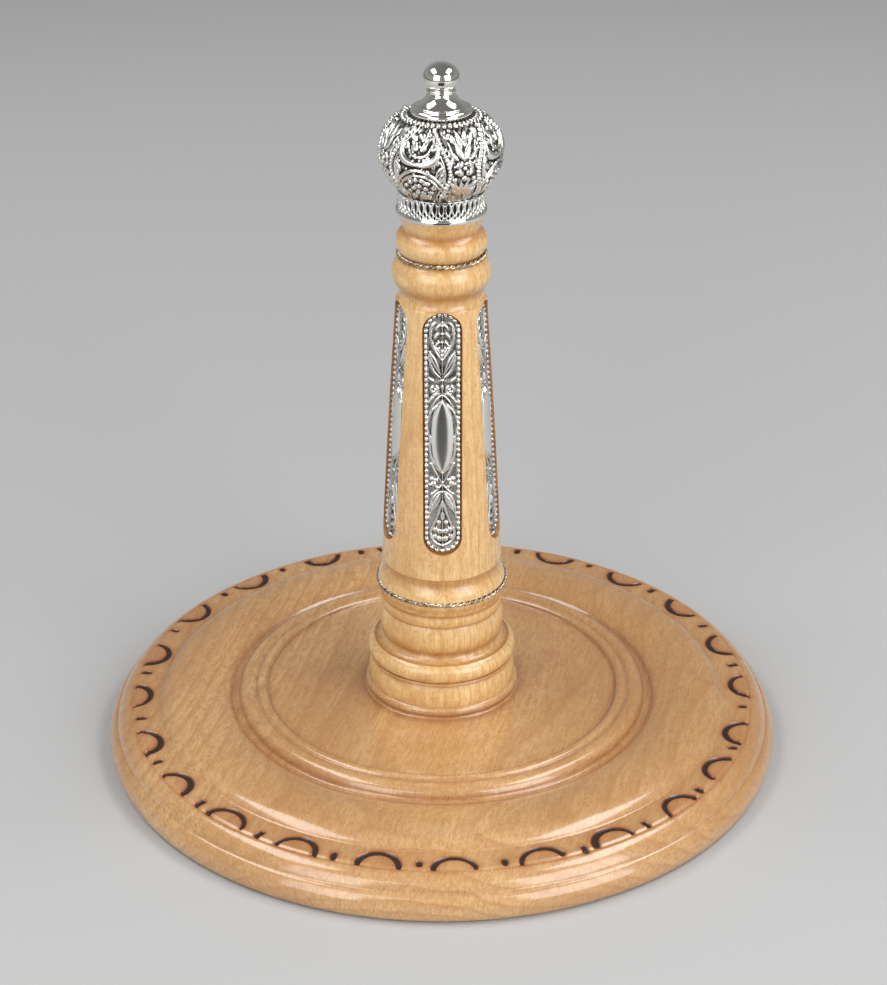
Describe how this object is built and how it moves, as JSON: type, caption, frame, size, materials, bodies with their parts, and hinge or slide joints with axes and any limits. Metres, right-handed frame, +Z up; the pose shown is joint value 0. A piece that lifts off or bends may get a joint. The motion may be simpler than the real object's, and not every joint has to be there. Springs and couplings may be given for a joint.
{
  "type": "paper towel holder",
  "caption": "Free-standing paper towel holder: round turned beech base, tapered column with stamped silver panels and twisted wire, silver crown and turned finial.",
  "frame": {"origin": "on the surface that the holder stands on, under the centre of the round base", "axes": "+Z up along the column; -Y is the front, where one silver panel faces almost straight ahead; +X to the right"},
  "size_m": [0.2408, 0.2408, 0.25],
  "materials": {
    "base_wood": "gloss lacquer over steamed beech",
    "column_wood": "gloss lacquer over beech",
    "stamped_silver": "stamped silver, darkened in the hollows and polished on top",
    "twisted_silver": "two twisted strands, lightly darkened",
    "polished_silver": "mirror polish",
    "zinc_steel": "zinc plated",
    "brass": "as turned",
    "felt": "pressed felt"
  },
  "bodies": {
    "base": {"base_disc": "base_wood", "bolt_washer": "zinc_steel", "foot_pad_1": "felt", "foot_pad_2": "felt", "foot_pad_3": "felt", "foot_pad_4": "felt"},
    "bolt": {"base_bolt": "zinc_steel"},
    "column": {"column": "column_wood", "column_insert": "brass", "panel_1": "stamped_silver", "panel_2": "stamped_silver", "panel_3": "stamped_silver", "panel_4": "stamped_silver", "panel_5": "stamped_silver", "upper_wire_ring": "twisted_silver", "lower_wire_ring": "twisted_silver", "crown_rim": "stamped_silver", "crown_gallery": "stamped_silver", "crown_dome": "stamped_silver", "stud_insert": "brass", "finial_stud": "zinc_steel"},
    "collar": {"knob_collar": "polished_silver"},
    "knob": {"finial_knob": "polished_silver"}
  },
  "joints": [
    {"name": "bolt_turn", "type": "hinge", "parent": "base", "child": "bolt", "pos_m": [0, 0, 0], "axis": [0, 0, -1], "range_deg": [0, 5040]},
    {"name": "column_rise", "type": "slide", "parent": "base", "child": "column", "axis": [0, 0, 1], "range_m": [0, 0.0175]},
    {"name": "collar_rise", "type": "slide", "parent": "column", "child": "collar", "axis": [0, 0, 1], "range_m": [0, 0.008]},
    {"name": "knob_turn", "type": "hinge", "parent": "collar", "child": "knob", "pos_m": [0, 0, 0.24], "axis": [0, 0, 1], "range_deg": [0, 3600]}
  ],
  "couplings": [
    {"joint": "bolt_turn", "follows": "column_rise", "rad_per_m": 5026.5},
    {"joint": "knob_turn", "follows": "collar_rise", "rad_per_m": 7854}
  ]
}
